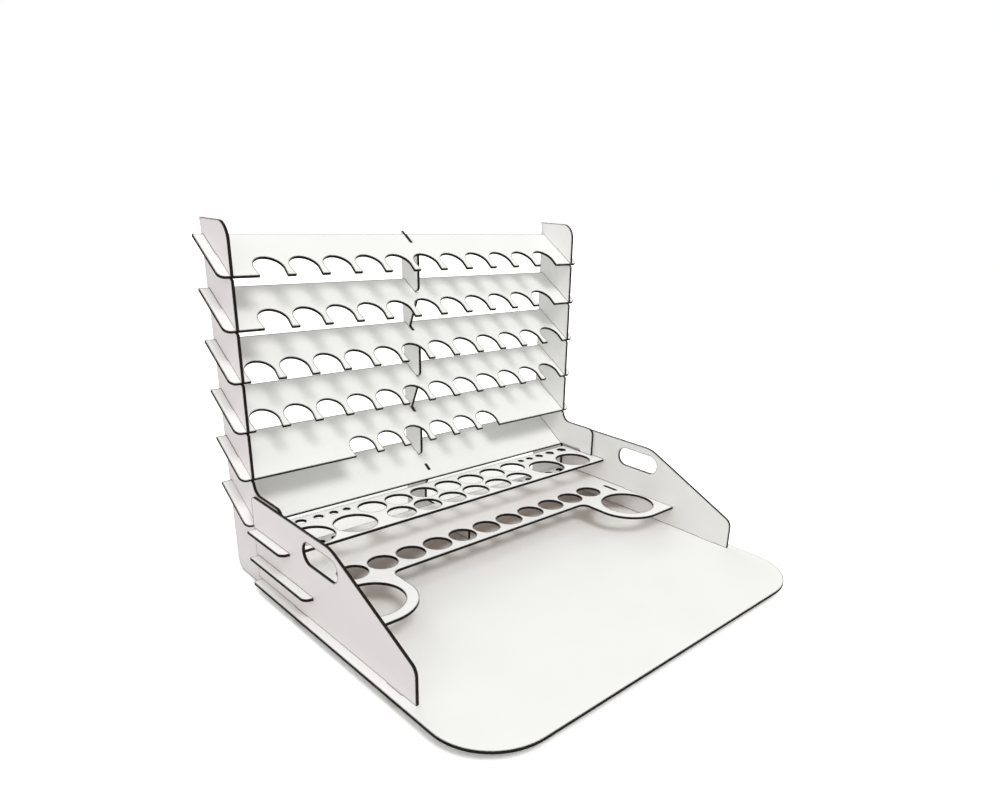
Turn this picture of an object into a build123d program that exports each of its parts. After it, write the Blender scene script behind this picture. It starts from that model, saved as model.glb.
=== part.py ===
from build123d import *
import os
from math import acos, cos, floor, hypot, radians, sin, sqrt, tan

# Desk organiser for small paint bottles: fourteen flat boards, cut from one sheet and slotted together.
# X runs across the desk, Y from the front edge to the back, Z up. The table top is Z = 0.
# While the boards are laid out, Y = 0 is the front edge of the base board. They are centred when written.

# ---------------------------------------------------------------- the sheet and its joints
sheet = 3.0                  # thickness of every board
slot_play = 0.2              # a slot is this much wider than the board that sits in it
end_play = 0.2               # room left between the end of a slot and the board that stops there
tab_length = 24.0            # length of an arm panel's leg tab where it passes through the base board
cut_reach = 5.0              # cutters run this far past the faces that they cut

# ---------------------------------------------------------------- base board
base_width = 500.0
base_depth = 394.0
base_front_radius = 66.0
base_rear_radius = 3.0
base_lift = 10.0             # free height under the base board
grip_reach = 10.0            # how far the rear legs reach under the base board's back edge

# ---------------------------------------------------------------- arm panels, the low outer sides
arm_margin = 10.0            # from the base board's side edge to the arm panel's outer face
arm_setback = 101.0          # from the base board's front edge to the arm panel
arm_height = 97.0            # above the base board
arm_nose_height = 35.7       # where the sloping edge would meet the front edge
arm_flat_length = 165.0      # level part of the top edge
arm_corner_radius = 45.0
arm_nose_radius = 12.0
arm_rear_radius = 6.0
handle_length = 67.5
handle_height = 24.5
handle_below_top = 10.0
handle_lead = 13.0           # how far the handle's front end lies in front of the level edge
arm_leg_lead = 20.0          # first leg tab, from the arm panel's front edge
arm_leg_spacing = 170.0

# ---------------------------------------------------------------- rack sides, the tall inner sides
rack_setback = 7.0           # from the base board's back edge to the rack's front edge
rack_depth = 60.5
rack_top_margin = 16.5       # from the top plate's back edge up to the top of the sides
rack_top_radius = 18.0
rack_foot_reach = 61.0       # how far the foot steps forward of the rack, over the upper shelf
rack_foot_height = 99.0      # above the base board
rack_foot_radius = 9.0
rack_foot_pad = 22.0         # length of the foot's lower edge that rests on the upper shelf
rack_foot_relief = 3.3       # behind the pad the lower edge clears the shelf by this much
rack_throat_radius = 13.0
rack_heel_radius = 12.0

# ---------------------------------------------------------------- shelves
lower_shelf_rise = 25.0      # clear height between the base board and the lower shelf
shelf_gap = 28.7             # clear height between the two shelves
shelf_back_gap = 4.0         # from the shelves' back edges to the rack's front edge
upper_shelf_depth = 79.5
lower_shelf_depth = 124.0
shelf_ear_reach = 9.5        # how far the shelf ears stand out of the arm panels
shelf_ear_setback = 2.5      # the ears start this far behind the shelf's front edge
shelf_ear_radius = 8.0

hole_wall = 3.0              # least board left between holes of different rows
bottle_hole_diameter = 33.0
bottle_hole_web = 3.9        # board left between two holes of a row
upper_back_row_inset = 24.0  # hole centres, from the upper shelf's back edge
upper_front_row_inset = 58.0
lower_row_inset = 99.0       # hole centres, from the lower shelf's back edge
lower_row_offset = 2.0       # the lower row's middle lies this far to the right of the shelf's middle
lower_row_end_margin = 28.0  # kept free at each end of the lower row

jar_hole_count = 2           # at each end of the upper shelf
jar_hole_diameter = 48.5
jar_hole_web = 3.5           # board left between the two
jar_end_wall = 8.3           # from the rack side's inner face to the first jar hole
jar_front_wall = 3.5         # from the upper shelf's front edge to the jar holes

brush_hole_count = 5         # at each end of both shelves
brush_hole_diameter = 13.0   # the outermost one
brush_hole_step = 1.2        # each next one is this much smaller
brush_end_margin = 15.7
brush_first_pitch = 24.0
brush_pitch_step = 2.5
brush_row_inset = 12.0       # the same in both shelves, so that a brush stands upright through both

cup_hole_diameter = 69.5
cup_end_wall = 4.0           # from the arm panel's inner face to the cup hole
cup_front_offset = 36.0      # from the lower shelf's front edge to the cup hole's centre
cup_rim = 12.75              # board left around the cup hole
cup_neck_radius = 10.0       # hollow corner between the front edge and the cup lobe

tool_slot_length = 24.0
tool_slot_width = 4.0
tool_slot_end_margin = 15.0
tool_slot_inset = 108.0      # centre, from the lower shelf's back edge

# ---------------------------------------------------------------- tilted rack plates
plate_count = 6
plate_tilt = 33.2            # degrees, the front edge lies lower
plate_depth = 65.3
plate_pitch = 52.4           # height from one plate to the next
plate_setback = 1.5          # plates start this far behind the rack's front edge
bottom_plate_rise = 1.5      # from the upper shelf's top to the bottom plate's front edge
plate_ear_reach = 11.0       # how far the ears stand out of the rack sides
plate_ear_radius = 7.0
side_lap = 33.0              # depth of the half-lap joint with the rack sides
divider_lap = 49.0           # depth of the divider's slots
notch_radius = 15.8
notch_web = 6.9              # board left between two notches where they are widest
notch_depth = 28.0
notch_mouth = 29.2

# ---------------------------------------------------------------- centre divider
web_inset = 28.0             # front of the upright webs, behind the rack's front edge
web_radius = 6.0
slant_top_inset = 30.5       # sloping webs start here
slant_bottom_inset = 48.0    # and end here
stem_inset = 20.0            # front of the stem below the bottom plate
divider_foot_reach = 92.0    # length of the foot that carries the lower shelf
stem_tab_start = 13.0        # tab through the bottom plate, from the plate's front edge
stem_tab_length = 10.0
neck_drop = 10.0             # below that tab the stem's front edge runs straight down this far
neck_slope_drop = 10.0       # and then slopes back over this height

# ---------------------------------------------------------------- places worked out from the sizes above
base_top = base_lift + sheet
arm_outer = base_width / 2 - arm_margin
arm_inner = arm_outer - sheet
side_outer = arm_inner
side_inner = side_outer - sheet
side_middle = side_outer - sheet / 2

rack_front = base_depth + rack_setback
rack_back = rack_front + rack_depth
foot_front = rack_front - rack_foot_reach
arm_front = arm_setback
arm_back = rack_front
arm_top = base_top + arm_height

shelf_back = rack_front - shelf_back_gap
shelf_end = arm_inner - end_play
lower_shelf_bottom = base_top + lower_shelf_rise
lower_shelf_top = lower_shelf_bottom + sheet
upper_shelf_bottom = lower_shelf_top + shelf_gap
upper_shelf_top = upper_shelf_bottom + sheet
lower_shelf_front = shelf_back - lower_shelf_depth
upper_shelf_front = shelf_back - upper_shelf_depth
bottle_hole_pitch = bottle_hole_diameter + bottle_hole_web
jar_row_inset = upper_shelf_depth - jar_front_wall - jar_hole_diameter / 2

plate_front = rack_front + plate_setback
bottom_plate_height = upper_shelf_top + bottom_plate_rise
plate_heights = [bottom_plate_height + plate_pitch * (plate_count - 1 - row) for row in range(plate_count)]
rack_top = plate_heights[0] + plate_depth * sin(radians(plate_tilt)) + rack_top_margin

slot_width = sheet + slot_play
notch_pitch = 2 * notch_radius + notch_web
notch_full_count = floor(2 * side_inner / notch_pitch)
notch_counts = [notch_full_count - 1, notch_full_count - 1, notch_full_count, notch_full_count,
                notch_full_count // 2, 0]


# ---------------------------------------------------------------- outline helpers
def rounded_outline(corners):
    """Closed face from (u, v, radius) corners, with each corner rounded by its own radius."""
    edges = []
    previous_end = None
    first_start = None
    for index, (u, v, radius) in enumerate(corners):
        before = corners[index - 1]
        after = corners[(index + 1) % len(corners)]
        start, middle, end = corner_arc((before[0], before[1]), (u, v), (after[0], after[1]), radius)
        if previous_end is not None:
            edges.append(Line(previous_end, start))
        else:
            first_start = start
        if radius > 0:
            edges.append(ThreePointArc(start, middle, end))
        previous_end = end
    edges.append(Line(previous_end, first_start))
    return make_face(edges)


def corner_arc(before, corner, after, radius):
    """Start, middle and end of the arc that rounds one corner of an outline."""
    if radius <= 0:
        return corner, corner, corner
    back = unit(corner, before)
    ahead = unit(corner, after)
    opening = acos(back[0] * ahead[0] + back[1] * ahead[1])
    reach = radius / tan(opening / 2)
    start = (corner[0] + back[0] * reach, corner[1] + back[1] * reach)
    end = (corner[0] + ahead[0] * reach, corner[1] + ahead[1] * reach)
    half = (back[0] + ahead[0], back[1] + ahead[1])
    length = hypot(half[0], half[1])
    inward = radius / sin(opening / 2) - radius
    middle = (corner[0] + half[0] / length * inward, corner[1] + half[1] / length * inward)
    return start, middle, end


def unit(start, end):
    length = hypot(end[0] - start[0], end[1] - start[1])
    return (end[0] - start[0]) / length, (end[1] - start[1]) / length


def block(x_range, y_range, z_range):
    """Upright box between two values on each axis."""
    size = [high - low for low, high in (x_range, y_range, z_range)]
    middle = [(high + low) / 2 for low, high in (x_range, y_range, z_range)]
    return Pos(*middle) * Box(*size)


def upright_board(outline, x_low):
    """Board that stands along Y, from an outline drawn in Y and Z."""
    return extrude(Plane.YZ.offset(x_low) * outline, sheet)


def cut_through(outline, x_low):
    """Cutter for an upright board, from an outline drawn in Y and Z."""
    return extrude(Plane.YZ.offset(x_low - cut_reach) * outline, sheet + 2 * cut_reach)


def level_board(outline, z_low):
    """Board that lies flat, from an outline drawn in X and Y."""
    return extrude(Plane.XY.offset(z_low) * outline, sheet)


def plate_point(row, along, above=0.0):
    """Y and Z of a point in a rack plate's side view: along its depth, and above its middle layer."""
    tilt = radians(plate_tilt)
    y = plate_front + along * cos(tilt) - above * sin(tilt)
    z = plate_heights[row] + along * sin(tilt) + above * cos(tilt)
    return y, z


def plate_level(row, y, above):
    """Height at a given Y of the plane that lies this far above a rack plate's middle layer."""
    tilt = radians(plate_tilt)
    return plate_heights[row] + (y - plate_front) * tan(tilt) + above / cos(tilt)


def spread(count, pitch):
    """Centres of a row of equal steps, even about the middle."""
    return [(index - (count - 1) / 2) * pitch for index in range(count)]


# ---------------------------------------------------------------- boards
def make_base_board():
    half = base_width / 2
    outline = rounded_outline([(-half, 0, base_front_radius), (half, 0, base_front_radius),
                               (half, base_depth, base_rear_radius), (-half, base_depth, base_rear_radius)])
    board = level_board(outline, base_lift)
    for middle in (-arm_outer + sheet / 2, arm_outer - sheet / 2):
        for start in arm_leg_starts():
            board -= leg_slot(middle, start)
    return board


def leg_slot(middle, start):
    x_range = (middle - slot_width / 2, middle + slot_width / 2)
    y_range = (start - slot_play / 2, start + tab_length + slot_play / 2)
    return block(x_range, y_range, (base_lift - cut_reach, base_top + cut_reach))


def arm_leg_starts():
    first = arm_front + arm_leg_lead
    return [first, first + arm_leg_spacing]


def leg_tab(x_low, start):
    """Tab that goes down through the base board and stands on the table."""
    return block((x_low, x_low + sheet), (start, start + tab_length), (0, base_top + sheet))


def make_arm_panel(x_low):
    level_start = arm_back - arm_flat_length
    outline = rounded_outline([(arm_front, base_top, 0),
                               (arm_back, base_top, 0),
                               (arm_back, arm_top, arm_rear_radius),
                               (level_start, arm_top, arm_corner_radius),
                               (arm_front, base_top + arm_nose_height, arm_nose_radius)])
    panel = upright_board(outline, x_low)
    for start in arm_leg_starts():
        panel += leg_tab(x_low, start)
    across = (x_low - cut_reach, x_low + sheet + cut_reach)
    for front, bottom in ((upper_shelf_front, upper_shelf_bottom), (lower_shelf_front, lower_shelf_bottom)):
        y_range = (front + shelf_ear_setback - end_play, shelf_back + end_play)
        panel -= block(across, y_range, (bottom - slot_play / 2, bottom + sheet + slot_play / 2))
    handle_middle = level_start - handle_lead + handle_length / 2
    handle_rise = arm_top - handle_below_top - handle_height / 2
    handle = Pos(handle_middle, handle_rise) * SlotOverall(handle_length, handle_height)
    return panel - cut_through(handle, x_low)


def grip_corners():
    """Corners of a rear leg that reaches under the base board's back edge and holds it."""
    rear = base_depth + end_play
    under = base_depth - grip_reach
    return [(rear, base_top, 0), (rear, base_lift - slot_play / 2, 0), (under, base_lift - slot_play / 2, 0),
            (under, 0, 0)]


def make_rack_side(x_low):
    foot_top = base_top + rack_foot_height
    pad_height = upper_shelf_top + slot_play / 2
    relief_height = upper_shelf_top + rack_foot_relief
    pad_back = foot_front + rack_foot_pad
    outline = rounded_outline([(rack_back, 0, rack_heel_radius),
                               (rack_back, rack_top, 0),
                               (rack_front, rack_top, rack_top_radius),
                               (rack_front, foot_top, rack_throat_radius),
                               (foot_front, foot_top, rack_foot_radius),
                               (foot_front, pad_height, 0),
                               (pad_back, pad_height, 0),
                               (pad_back, relief_height, 0),
                               (rack_front, relief_height, 0),
                               (rack_front, base_top, 0)] + grip_corners())
    side = upright_board(outline, x_low)
    for row in range(plate_count):
        side -= plate_slot_in_side(row, x_low)
    return side


def plate_slot_in_side(row, x_low):
    """Slot along a plate: open at the front and half as deep, but closed and full for the bottom plate."""
    is_bottom = row == plate_count - 1
    start = -end_play if is_bottom else -plate_setback - cut_reach
    end = plate_depth + end_play if is_bottom else side_lap + end_play / 2
    slot = Pos((start + end) / 2, 0) * Rectangle(end - start, slot_width)
    y, z = plate_point(row, 0)
    placed = Pos(y, z) * Rot(0, 0, plate_tilt) * slot
    return cut_through(placed, x_low)


def notch(middle):
    """Bottle notch in a plate's front edge: a round end with sides that close in a little at the mouth."""
    centre = notch_depth - notch_radius
    mouth = Polygon((-notch_mouth / 2, 0), (notch_mouth / 2, 0),
                    (notch_radius, centre), (-notch_radius, centre), align=None)
    lead = Pos(0, -cut_reach / 2) * Rectangle(notch_mouth, cut_reach)
    return Pos(middle, 0) * (mouth + lead + Pos(0, centre) * Circle(notch_radius))


def make_rack_plate(row):
    half = side_outer + plate_ear_reach
    outline = rounded_outline([(-half, 0, plate_ear_radius), (half, 0, plate_ear_radius),
                               (half, plate_depth, 0), (-half, plate_depth, 0)])
    for middle in spread(notch_counts[row], notch_pitch):
        outline -= notch(middle)
    outline -= open_back_slot(0, divider_lap)
    if row == plate_count - 1:
        stem_slot = Rectangle(slot_width, stem_tab_length + end_play)
        outline -= Pos(0, stem_tab_start + stem_tab_length / 2) * stem_slot
    else:
        outline -= open_back_slot(-side_middle, side_lap)
        outline -= open_back_slot(side_middle, side_lap)
    flat = level_board(outline, -sheet / 2)
    return Pos(0, plate_front, plate_heights[row]) * Rot(plate_tilt, 0, 0) * flat


def open_back_slot(middle, start):
    """Half-lap slot in a plate, open at its back edge."""
    length = plate_depth - start + cut_reach
    return Pos(middle, start - end_play / 2 + length / 2) * Rectangle(slot_width, length)


def shelf_outline(front, front_corners):
    """Shelf with ears outside the arm panels. The front corners lead from its right end to its left one."""
    ear_front = front + shelf_ear_setback
    ear_tip = arm_outer + shelf_ear_reach
    left_ear = [(-shelf_end, ear_front, 0),
                (-ear_tip, ear_front, shelf_ear_radius),
                (-ear_tip, shelf_back, 0)]
    right_ear = [(ear_tip, shelf_back, 0),
                 (ear_tip, ear_front, shelf_ear_radius),
                 (shelf_end, ear_front, 0)]
    return rounded_outline(left_ear + right_ear + front_corners)


def make_upper_shelf():
    front = upper_shelf_front
    shelf = shelf_outline(front, [(shelf_end, front, 0), (-shelf_end, front, 0)])
    back_count = bottle_holes_between_ends()
    for count, inset in ((back_count, upper_back_row_inset), (back_count - 1, upper_front_row_inset)):
        for middle in spread(count, bottle_hole_pitch):
            shelf -= Pos(middle, shelf_back - inset) * Circle(bottle_hole_diameter / 2)
    for side in (-1, 1):
        for x in jar_holes():
            shelf -= Pos(side * x, shelf_back - jar_row_inset) * Circle(jar_hole_diameter / 2)
    shelf -= brush_rows()
    return level_board(shelf, upper_shelf_bottom)


def jar_holes():
    """Centres of the jar holes at one end, from the outermost inward."""
    outermost = side_inner - jar_end_wall - jar_hole_diameter / 2
    return [outermost - index * (jar_hole_diameter + jar_hole_web) for index in range(jar_hole_count)]


def brush_holes():
    """Centre and diameter of the brush holes at one end, from the outermost inward."""
    holes = []
    x = side_inner - brush_end_margin
    for index in range(brush_hole_count):
        holes.append((x, brush_hole_diameter - index * brush_hole_step))
        x -= brush_first_pitch - index * brush_pitch_step
    return holes


def brush_rows():
    """Cutters for the brush holes at both ends of a shelf."""
    rows = []
    for side in (-1, 1):
        for x, diameter in brush_holes():
            rows.append(Pos(side * x, shelf_back - brush_row_inset) * Circle(diameter / 2))
    return rows


def bottle_holes_between_ends():
    """How many holes fit in the upper shelf's back row, between the jar and brush holes of the two ends."""
    brush_x, brush_diameter = brush_holes()[-1]
    reach = min(reach_beside(jar_holes()[-1], jar_hole_diameter, jar_row_inset - upper_back_row_inset),
                reach_beside(brush_x, brush_diameter, upper_back_row_inset - brush_row_inset))
    return floor(2 * reach / bottle_hole_pitch) + 1


def reach_beside(neighbour_x, neighbour_diameter, rows_apart):
    """Farthest place for a bottle hole's centre beside a hole of another row, with hole_wall between them."""
    centres_apart = (neighbour_diameter + bottle_hole_diameter) / 2 + hole_wall
    return neighbour_x - sqrt(max(centres_apart ** 2 - rows_apart ** 2, 0))


def make_lower_shelf():
    front = lower_shelf_front
    cup_x = arm_inner - cup_end_wall - cup_hole_diameter / 2
    cup_y = front - cup_front_offset
    lobe_radius = cup_hole_diameter / 2 + cup_rim
    lobe_side = cup_x - lobe_radius
    lobe_front = cup_y - lobe_radius
    shelf = shelf_outline(front, [(shelf_end, lobe_front, 0),
                                  (lobe_side, lobe_front, lobe_radius),
                                  (lobe_side, front, cup_neck_radius),
                                  (-lobe_side, front, cup_neck_radius),
                                  (-lobe_side, lobe_front, lobe_radius),
                                  (-shelf_end, lobe_front, 0)])
    for middle in spread(lower_row_count(), bottle_hole_pitch):
        place = Pos(middle + lower_row_offset, shelf_back - lower_row_inset)
        shelf -= place * Circle(bottle_hole_diameter / 2)
    shelf -= brush_rows()
    tool_slot = Rot(0, 0, 90) * SlotOverall(tool_slot_length, tool_slot_width)
    for side in (-1, 1):
        shelf -= Pos(side * cup_x, cup_y) * Circle(cup_hole_diameter / 2)
        shelf -= Pos(side * (arm_inner - tool_slot_end_margin), shelf_back - tool_slot_inset) * tool_slot
    return level_board(shelf, lower_shelf_bottom)


def lower_row_count():
    return floor(2 * (side_inner - lower_row_end_margin) / bottle_hole_pitch)


def make_centre_divider():
    """Upright board at the middle: its webs fill the gaps between the plates and its foot carries a shelf."""
    wall = slot_width / 2
    last = plate_count - 1
    corners = [(rack_back, plate_level(0, rack_back, sheet / 2), 0)]
    for row in range(plate_count):
        above = sheet / 2 if row == 0 else wall
        corners.append((*plate_point(row, divider_lap + end_play / 2, above), 0))
        corners.append((*plate_point(row, divider_lap + end_play / 2, -wall), 0))
        if row == last:
            continue
        is_upright = row % 2 == 0
        top = rack_front + (web_inset if is_upright else slant_top_inset)
        bottom = rack_front + (web_inset if is_upright else slant_bottom_inset)
        corners.append((top, plate_level(row, top, -wall), 0))
        corners.append((bottom, plate_level(row + 1, bottom, wall), web_radius if is_upright else 0))
    corners += stem_corners(last)
    corners += grip_corners()
    corners.append((rack_back, 0, rack_heel_radius))
    return upright_board(rounded_outline(corners), -sheet / 2)


def stem_corners(row):
    """Divider's front edge, from its tab through the bottom plate down to the base board."""
    wall = slot_width / 2
    tab_end = stem_tab_start + stem_tab_length
    neck_front, neck_top = plate_point(row, stem_tab_start, -wall)
    stem_front = rack_front + stem_inset
    foot_tip = stem_front - divider_foot_reach
    return [(*plate_point(row, tab_end, -wall), 0),
            (*plate_point(row, tab_end, sheet / 2), 0),
            (*plate_point(row, stem_tab_start, sheet / 2), 0),
            (neck_front, neck_top, 0),
            (neck_front, neck_top - neck_drop, 0),
            (stem_front, neck_top - neck_drop - neck_slope_drop, 0),
            (stem_front, lower_shelf_bottom, 0),
            (foot_tip, lower_shelf_bottom, 0),
            (foot_tip, base_top, 0)]


# ---------------------------------------------------------------- the whole organiser
def make_boards():
    boards = {
        "base_board": make_base_board(),
        "left_arm_panel": make_arm_panel(-arm_outer),
        "right_arm_panel": make_arm_panel(arm_inner),
        "left_rack_side": make_rack_side(-side_outer),
        "right_rack_side": make_rack_side(side_inner),
        "centre_divider": make_centre_divider(),
        "upper_shelf": make_upper_shelf(),
        "lower_shelf": make_lower_shelf(),
    }
    for row in range(plate_count):
        boards[f"rack_plate_{row + 1}"] = make_rack_plate(row)
    return boards


def main():
    os.makedirs("parts", exist_ok=True)
    centring = Pos(0, -rack_back / 2, 0)
    for name, board in make_boards().items():
        placed = centring * board
        placed.label = name
        export_step(placed, f"parts/{name}.step")
        box = placed.bounding_box()
        size = f"{box.size.X:.1f} x {box.size.Y:.1f} x {box.size.Z:.1f}"
        print(f"{name:18s} solids {len(placed.solids())}  size {size}")


main()
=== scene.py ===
# %% [markdown]
# # A slotted desk organiser for small paint bottles
#
# The real object is fourteen flat boards, each 3 mm thick, with a smooth white film. A laser cut them out
# of a larger sheet, so every edge is scorched nearly black, and they slot together without screws.
#
# This lesson loads the boards from CAD, gives them their finish, makes the notched boards again from a
# rule, and photographs it all in a white studio. The steps are the camera, the studio, the finishes, and
# last the boards.

# %% Load the CAD frame
import bmesh
import bpy
from math import atan, cos, degrees, radians, sin
from mathutils import Matrix, Vector


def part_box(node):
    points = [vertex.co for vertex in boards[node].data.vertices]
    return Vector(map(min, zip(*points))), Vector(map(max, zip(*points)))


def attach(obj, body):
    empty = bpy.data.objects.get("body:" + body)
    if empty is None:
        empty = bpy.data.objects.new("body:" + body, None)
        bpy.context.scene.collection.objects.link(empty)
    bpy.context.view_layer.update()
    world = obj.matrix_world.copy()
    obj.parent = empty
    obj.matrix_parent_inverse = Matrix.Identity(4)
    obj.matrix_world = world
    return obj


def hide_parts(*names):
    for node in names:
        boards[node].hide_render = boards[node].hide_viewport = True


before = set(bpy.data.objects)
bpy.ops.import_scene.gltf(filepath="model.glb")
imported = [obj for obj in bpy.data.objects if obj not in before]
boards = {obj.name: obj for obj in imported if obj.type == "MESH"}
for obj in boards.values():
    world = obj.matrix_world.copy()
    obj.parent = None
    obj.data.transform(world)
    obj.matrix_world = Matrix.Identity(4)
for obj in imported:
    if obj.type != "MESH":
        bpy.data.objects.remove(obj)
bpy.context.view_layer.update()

# %% [markdown]
# The camera comes first, because every later choice is judged through it. It stands to the left of the
# organiser, a little above it, and looks down across the desk. The picture was cropped from a larger one
# after it was taken, so its middle is not where the lens points. A lens shift says that, where a turn of
# the camera would bend the lines that should stay parallel.

# %% Camera
picture_width = 1000
picture_height = 800
focal_length_in_pixels = 742.34
lens_centre_x = 554.85
lens_centre_y = 478.65

camera_data = bpy.data.cameras.new("photo_camera")
camera_data.sensor_width = 36.0
camera_data.lens = camera_data.sensor_width * focal_length_in_pixels / picture_width
camera_data.shift_x = (picture_width / 2 - lens_centre_x) / picture_width
camera_data.shift_y = (lens_centre_y - picture_height / 2) / picture_width
camera_data.clip_start = 0.02
camera_data.clip_end = 60.0

camera = bpy.data.objects.new("photo_camera", camera_data)
bpy.context.scene.collection.objects.link(camera)
bpy.context.scene.camera = camera
heading = radians(45.82)
downward_tilt = radians(20.81)
lean = radians(2.86)
camera.location = (-0.5374, -0.5698, 0.4241)
turn = Matrix.Rotation(-heading, 4, "Z") @ Matrix.Rotation(radians(90) - downward_tilt, 4, "X")
camera.rotation_euler = (turn @ Matrix.Rotation(lean, 4, "Z")).to_euler()
print("lens:", round(camera_data.lens, 2), "mm")
print("shift:", round(camera_data.shift_x, 4), round(camera_data.shift_y, 4))

# %% [markdown]
# The studio is a white table top without a visible edge. In the camera's view the floor shows as plain
# white, with only the soft shadow that the organiser drops close to itself. A Light Path node paints the
# floor lighter for the camera than for the light that bounces off it, so that it does not light the
# boards from below. It is still paint and not a glow, so a shadow on it shows. The base board stands 10
# mm off the table, and an Ambient Occlusion node deepens the thin shadow in the gap under its edge.

# %% Floor
floor_half_width = 8.0
floor_mesh = bpy.data.meshes.new("studio_floor")
corners = [(x * floor_half_width, y * floor_half_width, 0.0) for x, y in ((-1, -1), (1, -1), (1, 1), (-1, 1))]
floor_mesh.from_pydata(corners, [], [(0, 1, 2, 3)])
floor = bpy.data.objects.new("studio_floor", floor_mesh)
bpy.context.scene.collection.objects.link(floor)


def add_node(tree, kind, place=(0, 0), **settings):
    """Adds a node of this kind to a node tree and sets its properties."""
    node = tree.nodes.new(kind)
    node.location = place
    for name, value in settings.items():
        setattr(node, name, value)
    return node


def new_material(name):
    """Empty material, and its output node."""
    material = bpy.data.materials.new(name)
    material.use_nodes = True
    material.node_tree.nodes.clear()
    output = add_node(material.node_tree, "ShaderNodeOutputMaterial", (900, 0))
    return material, material.node_tree, output


floor_paint = 0.74
floor_paint_in_picture = 1.45
shade_reach = 0.012
shade_depth = 0.2
shade_from = 0.25
shade_to = 0.72
shade_samples = 8


def make_floor_material():
    """White paint with a contact shade, lighter for the camera."""
    material, tree, output = new_material("studio_floor")
    light_path = add_node(tree, "ShaderNodeLightPath", (-300, 0))
    tone = add_node(tree, "ShaderNodeMapRange", (-100, 0))
    tone.inputs["To Min"].default_value = floor_paint
    tone.inputs["To Max"].default_value = floor_paint_in_picture
    close = add_node(tree, "ShaderNodeAmbientOcclusion", (-300, -300), samples=shade_samples)
    close.inputs["Distance"].default_value = shade_reach
    shade = add_node(tree, "ShaderNodeMapRange", (-100, -300), interpolation_type="SMOOTHSTEP")
    shade.inputs["From Min"].default_value = shade_from
    shade.inputs["From Max"].default_value = shade_to
    shade.inputs["To Min"].default_value = shade_depth
    tree.links.new(close.outputs["AO"], shade.inputs["Value"])
    shaded = add_node(tree, "ShaderNodeMath", (50, -100), operation="MULTIPLY")
    tree.links.new(tone.outputs["Result"], shaded.inputs[0])
    tree.links.new(shade.outputs["Result"], shaded.inputs[1])
    grey = add_node(tree, "ShaderNodeCombineColor", (150, 0))
    paint = add_node(tree, "ShaderNodeBsdfDiffuse", (400, 0))
    tree.links.new(light_path.outputs["Is Camera Ray"], tone.inputs["Value"])
    for channel in ("Red", "Green", "Blue"):
        tree.links.new(shaded.outputs["Value"], grey.inputs[channel])
    tree.links.new(grey.outputs["Color"], paint.inputs["Color"])
    tree.links.new(paint.outputs["BSDF"], output.inputs["Surface"])
    return material


floor_mesh.materials.append(make_floor_material())
print("floor:", 2 * floor_half_width, "m wide")
print("floor paint:", floor_paint, "and in the picture", floor_paint_in_picture)

# %% [markdown]
# Soft light comes from three sides. A sun lamp with a wide angle is a large softbox far away: its light
# does not fall off across the floor, so the floor stays even, and its shadows are soft. The key light
# comes from above the front, a second lamp reaches in low from behind the open rack, and a weak one with
# a trace of pink fills the left side. The world is a pale room around it, and its faint green cast shows
# only where the lamps do not reach.

# %% Lamps and world
def add_softbox(name, strength, width_in_degrees, towards, colour=(1.0, 1.0, 1.0)):
    """Sun lamp with soft shadows, shining in the given direction."""
    lamp = bpy.data.lights.new(name, "SUN")
    lamp.energy = strength
    lamp.angle = radians(width_in_degrees)
    lamp.color = colour
    placed = bpy.data.objects.new(name, lamp)
    placed.rotation_euler = Vector(towards).to_track_quat("-Z", "Y").to_euler()
    bpy.context.scene.collection.objects.link(placed)


add_softbox("key_light", strength=1.28, width_in_degrees=24, towards=(0.12, 0.7, -1.0))
add_softbox("back_light", strength=0.8, width_in_degrees=30, towards=(-0.15, -1.0, -0.42))
add_softbox("left_fill", strength=0.5, width_in_degrees=70, towards=(1.0, 0.35, -0.45),
            colour=(1.0, 0.95, 0.96))
room_strength = 0.62
room_tint = (0.99, 1.0, 0.97, 1.0)


def make_world():
    """Pale room for the light, plain white for the camera."""
    world = bpy.data.worlds.new("studio")
    world.use_nodes = True
    tree = world.node_tree
    tree.nodes.clear()
    output = add_node(tree, "ShaderNodeOutputWorld", (600, 0))
    background = add_node(tree, "ShaderNodeBackground", (400, 0))
    light_path = add_node(tree, "ShaderNodeLightPath", (-200, 0))
    strength = add_node(tree, "ShaderNodeMapRange", (100, 0))
    strength.inputs["To Min"].default_value = room_strength
    strength.inputs["To Max"].default_value = 1.0
    tint = add_node(tree, "ShaderNodeMix", (100, -250), data_type="RGBA")
    tint.inputs[6].default_value = room_tint
    tint.inputs[7].default_value = (1.0, 1.0, 1.0, 1.0)
    tree.links.new(light_path.outputs["Is Camera Ray"], strength.inputs["Value"])
    tree.links.new(light_path.outputs["Is Camera Ray"], tint.inputs["Factor"])
    tree.links.new(strength.outputs["Result"], background.inputs["Strength"])
    tree.links.new(tint.outputs[2], background.inputs["Color"])
    tree.links.new(background.outputs["Background"], output.inputs["Surface"])
    return world


bpy.context.scene.world = make_world()
bpy.context.scene.view_settings.view_transform = "Standard"

# %% [markdown]
# ## How a board is coloured
#
# The finishes are built from shader nodes, in groups that every board's material shares. A few helpers come
# first. Each one places a node, sets its numbers and links its sockets, so that the groups can be read as
# sums and mixes.

# %% Helpers for node groups
sheet_thickness = boards["base_board"].dimensions.z
print("sheet:", round(sheet_thickness * 1000, 2), "mm")


def new_group(name, inputs, outputs):
    """Shader node group with named sockets. Returns the tree, its input node and its output node."""
    group = bpy.data.node_groups.new(name, "ShaderNodeTree")
    for socket_name, kind, value in inputs:
        socket = group.interface.new_socket(socket_name, in_out="INPUT", socket_type=kind)
        socket.default_value = value
    for socket_name, kind in outputs:
        group.interface.new_socket(socket_name, in_out="OUTPUT", socket_type=kind)
    return group, add_node(group, "NodeGroupInput", (-900, 0)), add_node(group, "NodeGroupOutput", (900, 0))


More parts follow.
